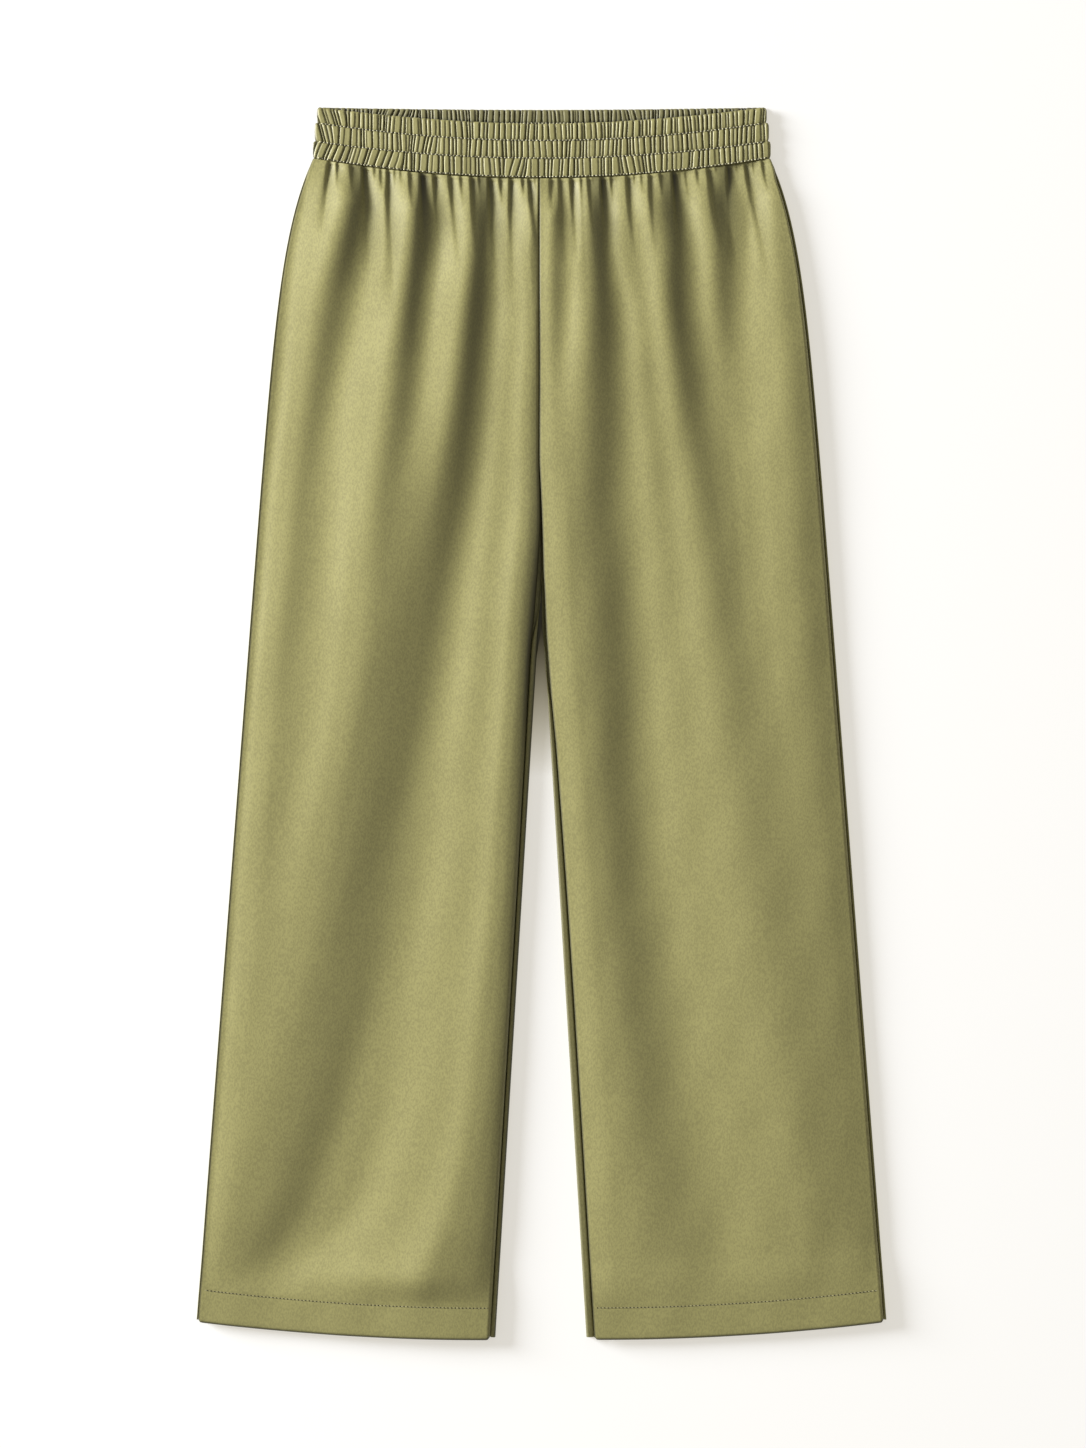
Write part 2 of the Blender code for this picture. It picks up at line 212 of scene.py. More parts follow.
CLOTH = 0.7 * MM  # the satin
SEAM_GAP = 0.2 * MM
FRONT_HEIGHT = 3.9 * MM  # the outside of the front panels, where no fold lifts it
HEM_LIFT = 2.6 * MM  # the turn-ups lift the front of the hem
HEM_LIFT_RUN = 0.045
SIDE_ROLLS = {"right": 0.8 * MM, "left": 2.3 * MM}
SIDE_ROLL_STARTS = 0.046
ROLL_RUN = 0.020
ROLL_RISE = 0.3 * MM
LEAST_ROLL = 0.3 * MM  # how wide an edge is before its roll starts
LOW_SIDE = 1.2 * MM  # and how high it then is, at the side and at the inseam
LOW_INSEAM = 2.6 * MM
# How far in from the leg's edge the inseam lies on the front, at these levels
INSEAM_LEVELS = (0.300, 0.350, 0.400, 0.433, 0.457, 0.500, 0.550, 0.720, 1.045)
INSEAM_INSETS = {
    "right": (2.0, 1.15, 3.4, 4.0, 5.4, 5.5, 5.2, 4.7, 4.7),
    "left": (-2.0, 0.25, 1.6, 2.2, 2.5, 3.2, 4.8, 6.6, 6.9),
}
CROTCH_BACK_DOWN = 0.430
CROTCH_BACK_RUN = 0.040
BACK_PARTING = 0.02 * MM  # half the parting between the back panels, above their crotch
INSEAM_ROLL_STARTS = {"right": 0.412, "left": 0.468}
INSEAM_ROLL_RUN = 0.045
# The legs don't part quite evenly: below the crotch each inner edge lies this much further in
INSEAM_SHIFTS = {"right": 0.0, "left": 1.5 * MM}
INSEAM_SHIFT_RUN = 0.060
# An edge that is rolled round to the front, from the seam over and down to the floor: how far
# across the roll from the silhouette, how high up it, how far out on the low web that joins the
# back panels between the legs, and how much painted shade darkens the cloth, all as shares
ROLL_PROFILE = (
    (1.00, 0.30, 0, 0.5), (0.97, 0.52, 0, 0.3), (0.92, 0.74, 0, 0.1), (0.82, 0.86, 0, 0.0),
    (0.68, 0.91, 0, 0.0), (0.50, 0.95, 0, 0.1), (0.34, 0.99, 0, 0.4), (0.20, 1.00, 0, 0.8),
    (0.09, 0.93, 0, 1.0), (0.02, 0.74, 0, 1.0), (0.00, 0.48, 0, 1.0), (0.00, 0.36, 0, 1.0),
    (0.00, 0.30, 1, 1.0), (0.02, 0.10, 1, 0.6), (0.18, 0.02, 0, 0.2), (0.40, 0.00, 0, 0.0),
)
ROLL_SHADES = {"right": (0.85, 1.0), "left": (0.35, 0.7)}  # the side's and the inseam's share of painted shade
# How high the front panels' own edges lie above the front's lowest, in millimetres, at these
# levels, first the edge on the -X side of the leg. The rolls follow them part of the way.
FOLD_LEVELS = (0.082, 0.121, 0.172, 0.248, 0.333, 0.435, 0.588, 0.758, 0.928, 0.995)
EDGES = {
    "right": ((2.0, 2.0, 2.0, 2.0, 2.0, 2.2, 3.0, 3.6, 3.6, 2.0),
              (5.2, 5.2, 5.2, 5.2, 5.2, 4.4, 4.6, 4.8, 5.0, 4.0)),
    "left": ((5.2, 5.2, 5.2, 5.2, 5.0, 4.4, 3.8, 3.0, 2.0, 2.0),
             (3.6, 4.2, 4.6, 4.6, 4.0, 3.6, 3.4, 3.0, 3.0, 3.0)),
}
ROLL_SHARE = 0.35
SIDES = {"right": -1, "left": 1}
PANEL_LENGTH = LENGTH - HEM_RISE - BAND_DEPTH
SHARP_EDGE = math.radians(65)


def smooth(t):
    """0 below 0, 1 above 1, and an even S between."""
    t = np.clip(t, 0.0, 1.0)
    return t * t * (3 - 2 * t)


def mix(a, b, t):
    return a + (b - a) * t


def rounded(t):
    """A quarter circle: rises steeply from 0 at 0, and is level at 1."""
    return np.sqrt(1 - (1 - np.clip(t, 0.0, 1.0)) ** 2)


def bell(t):
    """1 at 0, and falls away on both sides."""
    return np.exp(-(t**2))


def through(levels, values, at):
    """A smooth curve through the values at the levels, level beyond its ends."""
    levels = np.asarray(levels)
    values = np.asarray(values)
    last = len(levels) - 1
    at = np.clip(at, levels[0], levels[-1])
    i = np.clip(np.searchsorted(levels, at, side="right") - 1, 0, last - 1)
    after = np.minimum(np.arange(last + 1) + 1, last)
    before = np.maximum(np.arange(last + 1) - 1, 0)
    slopes = (values[after] - values[before]) / (levels[after] - levels[before])
    run = levels[i + 1] - levels[i]
    t = (at - levels[i]) / run
    start = (1 + 2 * t) * (1 - t) ** 2 * values[i] + t * (1 - t) ** 2 * run * slopes[i]
    end = t * t * (3 - 2 * t) * values[i + 1] - t * t * (1 - t) * run * slopes[i + 1]
    return start + end


def side_edge(down):
    """Distance from the middle to the side of the garment."""
    hip = HIP_ROUND * np.exp(-(down - BAND_DEPTH) / HIP_RUN)
    return HEM_SPREAD - SIDE_TAPER * (LENGTH - HEM_RISE - down) - hip


def inseam_edge(leg, down):
    """Distance from the middle to the inner edge of a leg."""
    shift = INSEAM_SHIFTS[leg] * smooth((down - CROTCH_DOWN) / INSEAM_SHIFT_RUN)
    return np.maximum(LEAST_INSEAM, INSEAM_SPREAD * (down - CROTCH_DOWN)) - shift


def back_inseam(leg, down):
    """As far as the inner edge of a back panel. Its crotch reaches lower than the front's."""
    parted = smooth((down - CROTCH_BACK_DOWN) / CROTCH_BACK_RUN)
    return mix(BACK_PARTING, inseam_edge(leg, down), parted)


def hem_line(inward):
    """How far down the hem lies, from its outer corner (0) to its inner corner (1)."""
    corners = 2 - rounded(inward / CORNER_RUN) - rounded((1 - inward) / CORNER_RUN)
    return LENGTH - HEM_SHORT - HEM_RISE * (1 - inward) ** 2 - HEM_CORNER * corners


def hem_lift(above_hem):
    """How much the front of the hem is lifted."""
    return HEM_LIFT * (1 - smooth((above_hem - HEM_DEPTH) / HEM_LIFT_RUN))


def front_side(leg, down):
    """Distance from the middle to the side seam on the front."""
    rolled = smooth((down - SIDE_ROLL_STARTS) / ROLL_RUN)
    return side_edge(down) - (SIDE_ROLLS[leg] + SEAM_GAP) * rolled


def front_inseam(leg, down):
    """Distance from the middle to the inseam on the front. It may lie beyond the middle."""
    return inseam_edge(leg, down) + through(INSEAM_LEVELS, INSEAM_INSETS[leg], down) * MM


def spaced(spans):
    """Places from 0 on, at each span's own spacing. A span is where it ends, and the spacing."""
    places = [0.0]
    for end, step in spans:
        count = max(round((end - places[-1]) / step), 1)
        start = places[-1]
        places += [mix(start, end, (k + 1) / count) for k in range(count)]
    return np.array(places)


def cloth_grid(columns, rows, doubled=True):
    """A flat grid, 0 to columns across and 0 to rows down, as a closed shell of two layers."""
    grid = bmesh.new()
    bmesh.ops.create_grid(grid, x_segments=columns, y_segments=rows, size=0.5)
    for point in grid.verts:
        point.co.x = (point.co.x + 0.5) * columns
        point.co.y = (0.5 - point.co.y) * rows
    if doubled:
        double_layer(grid)
    return grid


def double_layer(grid):
    """Gives the sheet a second layer at height -1, joined round its border."""
    copied = bmesh.ops.extrude_face_region(grid, geom=grid.faces[:])
    inside = [part for part in copied["geom"] if isinstance(part, bmesh.types.BMVert)]
    bmesh.ops.translate(grid, verts=inside, vec=(0.0, 0.0, -1.0))


def add_cloth(name, grid, place, material):
    """Makes the piece, moving each point of the grid to where place says: x, down and z. The fourth
    value is how much painted shade darkens the cloth there, from 0 to 1."""
    bmesh.ops.recalc_face_normals(grid, faces=grid.faces[:])
    mesh = bpy.data.meshes.new(name)
    grid.to_mesh(mesh)
    grid.free()
    points = np.empty(len(mesh.vertices) * 3)
    mesh.vertices.foreach_get("co", points)
    column, row, layer = points.reshape(-1, 3).T
    x, down, z, dark = place(column, row, layer < -0.5)
    placed = np.stack([x, LENGTH / 2 - down, z], axis=1)
    mesh.vertices.foreach_set("co", placed.astype(np.float32).ravel())
    # The painted shade is kept on the mesh as a point attribute for the material
    shade = mesh.attributes.new("painted_shade", "FLOAT", "POINT")
    shade.data.foreach_set("value", (dark + 0 * x).astype(np.float32))
    mesh.update()
    turned = bmesh.new()
    turned.from_mesh(mesh)
    if turned.calc_volume(signed=True) < 0:
        bmesh.ops.reverse_faces(turned, faces=turned.faces[:])
        turned.to_mesh(mesh)
    turned.free()
    mesh.shade_smooth()
    mesh.set_sharp_from_angle(angle=SHARP_EDGE)
    mesh.materials.append(material)
    piece = bpy.data.objects.new(name, mesh)
    bpy.context.scene.collection.objects.link(piece)
    return piece


SATIN_GLOSS = 0.05  # the share of light that the silky floats reflect in the thread's own colour
PAINTED_SHADE_KEEP = 0.16  # the share of its colour that the cloth keeps under the darkest painted shade


def satin(name, colour, shade, roughness, sheen):
    """Satin: a fine diagonal weave with a silky grain, colour that varies a little between colour and
    shade, and painted shade that darkens the cloth where the piece says so."""
    material = bpy.data.materials.new(name)
    material.use_nodes = True
    nodes = material.node_tree.nodes
    link = material.node_tree.links.new
    shader = nodes["Principled BSDF"]
    set_inputs(shader, {
        "Sheen Weight": sheen, "Sheen Roughness": 0.35, "Sheen Tint": (0.95, 0.93, 0.72, 1),
        "Specular IOR Level": 0.8, "Metallic": SATIN_GLOSS,
    })
    place = nodes.new("ShaderNodeTexCoord")

    cloudy = nodes.new("ShaderNodeTexNoise")
    set_inputs(cloudy, {"Scale": 40, "Detail": 3})
    link(place.outputs["Object"], cloudy.inputs["Vector"])

    along = nodes.new("ShaderNodeMapping")
    set_inputs(along, {"Rotation": (0, 0, math.radians(-38)), "Scale": (1.0, 0.55, 1.0)})
    link(place.outputs["Object"], along.inputs["Vector"])
    grain = nodes.new("ShaderNodeTexNoise")
    set_inputs(grain, {"Scale": 800, "Detail": 3})
    link(along.outputs["Vector"], grain.inputs["Vector"])

    weave = nodes.new("ShaderNodeTexWave")
    set_inputs(weave, {"Scale": 620, "Distortion": 1.2, "Detail": 1})
    link(along.outputs["Vector"], weave.inputs["Vector"])

    blend = nodes.new("ShaderNodeMix")
    set_inputs(blend, {"Factor": 0.86})
    link(cloudy.outputs["Fac"], blend.inputs["A"])
    link(grain.outputs["Fac"], blend.inputs["B"])
    dye = nodes.new("ShaderNodeValToRGB")
    for stop, position, tone in zip(dye.color_ramp.elements, (0.41, 0.59), (shade, colour)):
        stop.position = position
        stop.color = (*tone, 1)
    link(blend.outputs["Result"], dye.inputs["Fac"])
    # Painted shade: where the piece's attribute says, the colour is mixed towards a dark share of
    # itself
    edge = nodes.new("ShaderNodeAttribute")
    edge.attribute_name = "painted_shade"
    darkened = nodes.new("ShaderNodeMix")
    darkened.data_type = "RGBA"
    link(edge.outputs["Fac"], darkened.inputs["Factor"])
    link(dye.outputs["Color"], darkened.inputs["A"])
    set_inputs(darkened, {"B": (*(PAINTED_SHADE_KEEP * value for value in colour), 1)})
    link(darkened.outputs["Result"], shader.inputs["Base Color"])

    gloss = nodes.new("ShaderNodeMapRange")
    set_inputs(gloss, {"To Min": roughness - 0.05, "To Max": roughness + 0.05})
    link(grain.outputs["Fac"], gloss.inputs["Value"])
    link(gloss.outputs["Result"], shader.inputs["Roughness"])

    thread_height = nodes.new("ShaderNodeMath")
    thread_height.operation = "MULTIPLY_ADD"
    thread_height.inputs[1].default_value = 0.35
    link(weave.outputs["Fac"], thread_height.inputs[0])
    link(grain.outputs["Fac"], thread_height.inputs[2])
    raised = nodes.new("ShaderNodeBump")
    set_inputs(raised, {"Strength": 0.30, "Distance": 0.10 * MM})
    link(thread_height.outputs["Value"], raised.inputs["Height"])
    link(raised.outputs["Normal"], shader.inputs["Normal"])
    return material


right_side = satin("satin_right_side", (0.366, 0.340, 0.123), (0.290, 0.268, 0.097), 0.52, 0.0)

BACK_ROWS = spaced(((0.012, 1.5 * MM), (0.120, 3 * MM), (0.350, 6 * MM), (0.430, 3 * MM),
                    (0.500, 3 * MM), (PANEL_LENGTH - HEM_DEPTH - 0.004, 8 * MM),
                    (PANEL_LENGTH - HEM_DEPTH + 0.004, 1 * MM), (PANEL_LENGTH, 1.5 * MM)))
BACK_FLAT_COLUMNS = 84
# Soft troughs on the underside: place across from the side seam in hundredths at the waist and the
# hem, where it starts and ends going down in metres, its depth before scaling and its width in
# millimetres
UNDERSIDE_TROUGHS = {
    "right": (
        (12, 8, 0.04, 0.55, 1.3, 9), (27, 20, 0.04, 0.80, 1.9, 12), (41, 45, 0.04, 0.42, 1.5, 7),
        (56, 50, 0.04, 0.66, 1.8, 11), (72, 62, 0.04, 0.36, 1.2, 8), (86, 80, 0.04, 0.90, 1.6, 13),
        (64, 30, 0.42, 1.02, 1.4, 16), (18, 34, 0.55, 1.04, 1.1, 14),
    ),
    "left": (
        (9, 12, 0.04, 0.38, 1.2, 7), (23, 15, 0.04, 0.72, 1.7, 12), (38, 32, 0.04, 0.50, 1.6, 9),
        (52, 61, 0.04, 0.94, 1.9, 14), (69, 70, 0.04, 0.44, 1.4, 8), (83, 88, 0.04, 0.62, 1.3, 10),
        (40, 22, 0.50, 1.03, 1.5, 17), (74, 78, 0.60, 1.02, 1.0, 12),
    ),
}
TROUGH_SCALE = 0.7
MEAN_PANEL_WIDTH = 0.22
WAIST_PUCKERS = 31  # in each back panel
PUCKER_DEPTH = 0.8 * MM
PUCKER_RUN = 0.016
HEM_ROW_DEPTH = 0.6 * MM  # the groove of the hem's stitches
HEM_ROW_HALF = 1.1 * MM


def underside(leg, u, down):
    """How far the back panel's underside lifts off the floor: soft troughs and waist puckers."""
    recess = np.zeros_like(down)
    for waist, hem, start, end, depth, width in UNDERSIDE_TROUGHS[leg]:
        part = np.clip((down - start) / (end - start), 0, 1)
        line = mix(waist, hem, (down - BAND_DEPTH) / PANEL_LENGTH) / 100
        swell = np.sin(np.pi * np.clip(part * 0.92 + 0.08, 0, 1)) ** 0.8
        off = (u - line) * MEAN_PANEL_WIDTH / (width * MM * (0.5 + part))
        recess = np.maximum(recess, TROUGH_SCALE * depth * MM * swell * bell(off))
    below = down - BAND_DEPTH
    uneven = 0.9 * np.sin(u * 17.0 + SIDES[leg])
    pucker = 0.5 - 0.5 * np.cos(2 * np.pi * (u * WAIST_PUCKERS + uneven))
    recess += PUCKER_DEPTH * pucker**2 * np.exp(-np.maximum(below, 0) / PUCKER_RUN)
    recess += HEM_ROW_DEPTH * bell((hem_line(u) - down - HEM_DEPTH) / HEM_ROW_HALF)
    return recess


def back_profile(leg, column, down):
    """Across the back panel, from the side to the inseam: its outside's distance from the middle, its
    height, and how much painted shade darkens it."""
    steps = len(ROLL_PROFILE)
    share = np.array(ROLL_PROFILE)
    top = FRONT_HEIGHT + ROLL_RISE + hem_lift(hem_line(0.5) - down)
    first, last_edge = (through(FOLD_LEVELS, edge, down) * MM * ROLL_SHARE for edge in EDGES[leg])
    side_edge_height, inseam_edge_height = (first, last_edge) if leg == "right" else (last_edge, first)
    outer = side_edge(down)
    inner = back_inseam(leg, down)
    leg_edge = inseam_edge(leg, down)
    side_size = smooth((down - SIDE_ROLL_STARTS) / ROLL_RUN)
    inset = through(INSEAM_LEVELS, INSEAM_INSETS[leg], down) * MM
    inseam_size = smooth((down - INSEAM_ROLL_STARTS[leg]) / INSEAM_ROLL_RUN)
    side_wide = np.maximum(SIDE_ROLLS[leg] * side_size, LEAST_ROLL)
    inseam_wide = np.maximum((inset - SEAM_GAP) * inseam_size, LEAST_ROLL)
    side_top = mix(LOW_SIDE, top + side_edge_height, side_size)
    inseam_top = mix(LOW_INSEAM, top + inseam_edge_height, inseam_size)

    last = 2 * steps + BACK_FLAT_COLUMNS
    near = np.clip(column, 0, steps - 1)
    far = np.clip(last - column, 0, steps - 1)
    knots = np.arange(steps)
    side_x = outer - side_wide * np.interp(near, knots, share[:, 0])
    side_z = side_top * np.interp(near, knots, share[:, 1])
    inseam_x = leg_edge + inseam_wide * np.interp(far, knots, share[:, 0])
    inseam_x -= (leg_edge - inner) * np.interp(far, knots, share[:, 2])
    inseam_z = inseam_top * np.interp(far, knots, share[:, 1])
    u = np.clip((column - steps + 1) / (BACK_FLAT_COLUMNS + 2), 0, 1)
    flat_x = mix(outer - side_wide * share[-1, 0], leg_edge + inseam_wide * share[-1, 0], u)
    from_edge = np.minimum(u, 1 - u)
    flat_z = underside(leg, u, down) * smooth((from_edge - 0.01) / 0.04)
    x = np.where(column < steps, side_x, np.where(last - column < steps, inseam_x, flat_x))
    z = np.where(column < steps, side_z, np.where(last - column < steps, inseam_z, flat_z))
    # Painted shade on the rolls, from the profile's last column
    side_shade, inseam_shade = ROLL_SHADES[leg]
    dark = side_shade * np.interp(near, knots, share[:, 3]) * (column < steps)
    dark += inseam_shade * np.interp(far, knots, share[:, 3]) * (last - column < steps)
    return x, z, dark


def place_back(leg):
    """Where the points of a back panel go."""
    last = 2 * len(ROLL_PROFILE) + BACK_FLAT_COLUMNS

    def place(column, row, inside):
        level = BACK_ROWS[np.rint(row).astype(int)] / PANEL_LENGTH
        u = np.clip((column - len(ROLL_PROFILE)) / BACK_FLAT_COLUMNS, 0, 1)
        across = (1 - u) * (WAIST_HALF + BAND_FLARE)
        top = BAND_DEPTH + BACK_DIP * (1 - (across / (WAIST_HALF + BAND_FLARE)) ** 2) + SEAM_GAP
        down = mix(top, hem_line(u), level)
        x, z, dark = back_profile(leg, column, down)
        before_x, before_z, _ = back_profile(leg, np.maximum(column - 0.5, 0), down)
        after_x, after_z, _ = back_profile(leg, np.minimum(column + 0.5, last), down)
        run_x = after_x - before_x
        run_z = after_z - before_z
        length = np.maximum(np.hypot(run_x, run_z), 1e-9)
        x = np.where(inside, x + CLOTH * run_z / length, x)
        z = np.maximum(np.where(inside, z - CLOTH * run_x / length, z), 0)
        return SIDES[leg] * x, down, z, dark

    return place


for leg in SIDES:
    back = add_cloth(
        f"back_{leg}_satin",
        cloth_grid(2 * len(ROLL_PROFILE) + BACK_FLAT_COLUMNS, len(BACK_ROWS) - 1),
        place_back(leg),
        right_side,
    )
    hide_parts(f"back_{leg}")
    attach(back, "root")

# Front panels
# Two leg panels of the same satin, sewn to the back panels and to each other down the middle. The
# elastic gathers them at the waist, and the gathers run out into long soft folds.

FRONT_SEAM_DIP = 0.017  # how much the front waistband's seam hangs at the middle
FRONT_COLUMNS = 132
FRONT_ROWS = spaced(((0.060, 1.25 * MM), (0.110, 2 * MM), (0.340, 4.5 * MM), (0.430, 3.5 * MM),
                     (PANEL_LENGTH - HEM_DEPTH - 0.006, 7 * MM),
                     (PANEL_LENGTH - HEM_DEPTH + 0.006, 1.1 * MM), (PANEL_LENGTH - 0.003, 2.5 * MM),
                     (PANEL_LENGTH, 0.5 * MM)))
FINE_ROWS_END = 0.110  # the gathers above this have twice the columns
EDGE_SPREAD = 0.10  # the columns crowd together at the seams
# How wide and how deep the cloth turns down into the seam at a panel's -X edge, and its +X edge
SEAM_TURNS = ((0.7 * MM, 0.12 * MM), (2.0 * MM, 1.4 * MM))
SEAM_RIDGE = 0.10 * MM  # the seam's own thickness shows as a fine ridge beside it

# How the cloth tilts across its long folds: for each line that runs down a panel, its distance from
# the garment's middle in millimetres, and how steeply the cloth rises there towards +X, in
# hundredths, at the levels above. The height is what these tilts add up to.
FOLDS = {
    "right": (
        ((-199, -206, -212, -219, -230, -238, -252, -264, -279, -285),
         (18, 22, 22, 21, 20, 19, 16, 15, 13, 8)),
        ((-175, -187, -201, -210, -219, -230, -241, -253, -270, -280),
         (20, 21, 16, 11, 10, 10, 9, 9, 8, 6)),
        ((-155, -163, -176, -190, -203, -213, -228, -243, -262, -275),
         (-60, -52, -31, -16, -12, -8, -3, 3, 0, 0)),
        ((-141, -143, -148, -163, -168, -173, -197, -227, -252, -269),
         (18, 18, 19, 22, 22, 17, 10, 1, -6, -6)),
        ((-116, -121, -129, -143, -156, -162, -182, -214, -240, -264),
         (18, 15, 22, 21, 16, 9, 2, -3, -10, -10)),
        ((-102, -104, -109, -117, -131, -134, -160, -193, -226, -260),
         (-62, -60, -50, -28, -15, -15, -14, -10, -15, -13)),
        ((-83, -82, -88, -95, -110, -122, -148, -184, -221, -258),
         (0, 22, 18, 18, -8, -18, -20, -14, -17, -13)),
        ((-70, -68, -75, -87, -100, -110, -139, -173, -217, -255),
         (18, 21, 19, 19, -8, -24, -23, -18, -18, -13)),
        ((-48, -51, -55, -63, -74, -97, -129, -163, -212, -252),
         (-62, -60, -60, -48, -38, -29, -23, -20, -18, -11)),
        ((-39, -37, -34, -40, -48, -62, -79, -103, -140, -206),
         (14, 13, 20, 15, 16, 18, 16, 14, 14, 13)),
        ((-28, -30, -25, -30, -38, -47, -60, -76, -109, -163),
         (4, 4, 12, 9, 8, 7, 9, 9, 10, 15)),
        ((-18, -20, -16, -20, -22, -32, -43, -60, -87, -117),
         (12, 16, 19, 20, 19, 19, 16, 15, 12, 13)),
        ((-9, -12, -9, -12, -13, -20, -31, -42, -65, -88),
         (12, 6, 0, 3, -1, -9, -6, -8, -7, -12)),
        ((-5, -8, -6, -7, -7, -14, -24, -34, -52, -66),
         (0, -28, -20, -16, -22, -33, -27, -22, -17, -17)),
        ((-3, -3, -3, -3, -3, -8, -16, -27, -41, -44),
         (-25, -45, -45, -40, -32, -60, -55, -48, -34, -30)),
    ),
    "left": (
        ((6, 3, 3, 4, 8, 14, 26, 37, 48, 48),
         (14, 18, 19, 18, 21, 21, 19, 19, 15, 13)),
        ((13, 13, 13, 12, 17, 20, 32, 43, 54, 55),
         (-38, -30, -19, 8, 12, 15, 12, 13, 12, 9)),
        ((32, 31, 28, 24, 25, 28, 40, 51, 63, 63),
         (18, 23, 28, 17, 0, 1, -1, 2, 5, 2)),
        ((48, 50, 53, 54, 52, 60, 65, 81, 107, 126),
         (-62, -58, -48, -32, -23, -24, -22, -16, -11, -6)),
        ((62, 63, 75, 80, 88, 95, 108, 133, 170, 183),
         (14, 14, 19, 18, 19, 18, 18, 13, 10, 5)),
        ((71, 74, 85, 92, 102, 112, 128, 146, 194, 202),
         (-10, -9, 3, 4, 7, 12, 14, 12, 6, 2)),
        ((82, 91, 96, 105, 116, 128, 144, 168, 211, 219),
         (15, 18, 23, 18, 19, 20, 16, 13, 6, 0)),
        ((110, 114, 116, 127, 143, 159, 183, 219, 238, 236),
         (-60, -50, -48, -27, -14, -8, -2, -6, -8, -5)),
        ((129, 136, 139, 150, 160, 168, 194, 230, 248, 245),
         (21, 22, 17, 3, -4, -4, -1, -6, -9, -3)),
        ((156, 154, 157, 161, 170, 178, 206, 236, 255, 253),
         (-60, -42, -23, 6, 8, 5, 2, -5, -10, -2)),
        ((171, 181, 180, 186, 190, 197, 216, 241, 260, 260),
         (20, 22, 21, 23, 20, 15, 5, -5, -12, -3)),
        ((190, 191, 192, 197, 202, 207, 224, 246, 265, 267),
         (22, 18, 22, 21, 13, 10, 2, -7, -13, -6)),
        ((203, 207, 216, 224, 228, 236, 247, 257, 272, 277),
         (-17, -13, -12, -13, -12, -13, -11, -12, -14, -12)),
    ),
}
START_TILT = {"right": -0.7, "left": 1.0}  # the tilt at the -X edge, against that of the first line
FOLD_SCALE = 0.92
# Near the waist, only this share of what rises towards +X is left. All of it is from RISE_END down.
RISE_SHARE = 0.78
RISE_START = 0.100
RISE_END = 0.250
LINE_GAP = 0.5 * MM  # two lines never run closer than this
LOWEST_FOLD = -1.2 * MM  # the long folds dip no further below FRONT_HEIGHT
LOWEST_CREASE = -1.5 * MM  # and the creases no further than this
HELD_AT_SEAM = 0.35  # the share of the folds' height that the waistband's seam leaves
HELD_RUN = 0.036
HEM_STIFF_RUN = 0.026  # the doubled cloth of the turn-ups flattens the folds over this stretch
HEM_STIFFNESS = 0.85

# Creases that run down from the waistband's seam: place from the middle, drift sideways over each
# 100 mm, length, and depth, all in millimetres, before the scales below
CREASES = {
    "right": (
        (-182.3, -18, 40, 2.6), (-175.5, -6, 16, 2.4), (-164.0, 2, 16, 2.2), (-153.5, -2, 60, 3.4),
        (-144.0, -4, 9, 1.6), (-139.0, 0, 14, 2.0), (-133.0, -3, 85, 3.0), (-127.0, -4, 15, 2.0),
        (-122.0, 0, 10, 1.8), (-114.3, 3, 22, 2.4), (-104.5, -2, 60, 3.6), (-93.5, -1, 50, 3.0),
        (-80.3, 4, 55, 2.6), (-71.0, 3, 26, 1.8), (-62.0, 1, 48, 3.2), (-55.5, 2, 20, 2.2),
        (-47.0, 0, 60, 3.6), (-37.6, 3, 20, 2.6), (-28.8, -5, 68, 3.2), (-18.3, 0, 13, 2.0),
        (-13.2, 6, 52, 3.2), (-8.0, 2, 14, 1.8),
    ),
    "left": (
        (5.8, -4, 20, 2.2), (12.9, 0, 50, 2.6), (22.7, 0, 50, 3.2), (31.4, -3, 90, 1.6),
        (37.2, 3, 48, 2.6), (41.5, 0, 10, 1.6), (48.6, 0, 60, 3.6), (56.8, -1, 23, 2.4),
        (61.0, 0, 9, 1.4), (70.4, 3, 50, 2.8), (76.2, -2, 11, 2.0), (82.5, 1, 13, 1.6),
        (89.3, 1, 50, 2.6), (98.4, 5, 20, 2.0), (109.2, 3, 60, 3.4), (114.6, 2, 18, 1.8),
        (119.5, 6, 30, 1.6), (129.5, 6, 13, 1.6), (138.7, 12, 46, 2.8), (145.6, 2, 9, 1.4),
        (156.0, 0, 60, 3.4), (162.9, 2, 12, 1.6), (170.5, 14, 70, 2.6), (177.0, 6, 14, 1.8),
        (184.9, 12, 22, 2.0),
    ),
}
CREASE_WIDTH = 1.7 * MM  # at the seam, from a crease's line to where it has mostly risen
CREASE_WIDENS = 0.085
CREASE_FALL = 1.4  # the cloth falls steeply into a crease, and rises gently out of it
CREASE_RISE = 0.34
CREASE_LONG = 1.55
CREASE_DEEP = 1.2
CREASE_STARTS = 3 * MM
CREASE_SHADE = 0.70  # painted shade: the deepest creases are this much darker
FOLD_SHADE = 0.42  # and so are the sides of the long folds that fall more steeply than STEEP_FROM
STEEP_FROM = 0.28
STEEP_RUN = 0.30
PARTING_SHADE = 0.85  # and the right leg's edge where the legs meet
PARTING_RUN = 4.2 * MM
EDGE_SHADE = 0.9  # and each panel's -X edge
EDGE_SHADE_RUN = 0.7 * MM
HEM_SHADE_RUN = 1.9 * MM  # the hem's own edge has the darkest painted shade
SEAM_PINCH = 0.7 * MM  # the seam holds the cloth down, and it puffs up below
PINCH_RUN = 3.5 * MM
PUFF = 2.5 * MM
PUFF_RUN = 0.035
HEM_ROW_DIP = 0.20 * MM  # the hem's stitches sink the cloth
HEM_ROW_DIP_HALF = 0.9 * MM
HEM_EDGE_DROP = 1.7 * MM  # the hem's folded edge turns down
HEM_EDGE_RUN = 2.2 * MM
RIPPLE = 0.18 * MM


def front_seam(x):
    """How far down the seam of the front waistband lies."""
    return BAND_DEPTH + FRONT_SEAM_DIP * (1 - np.minimum(np.abs(x) / (WAIST_HALF + BAND_FLARE), 1) ** 2)


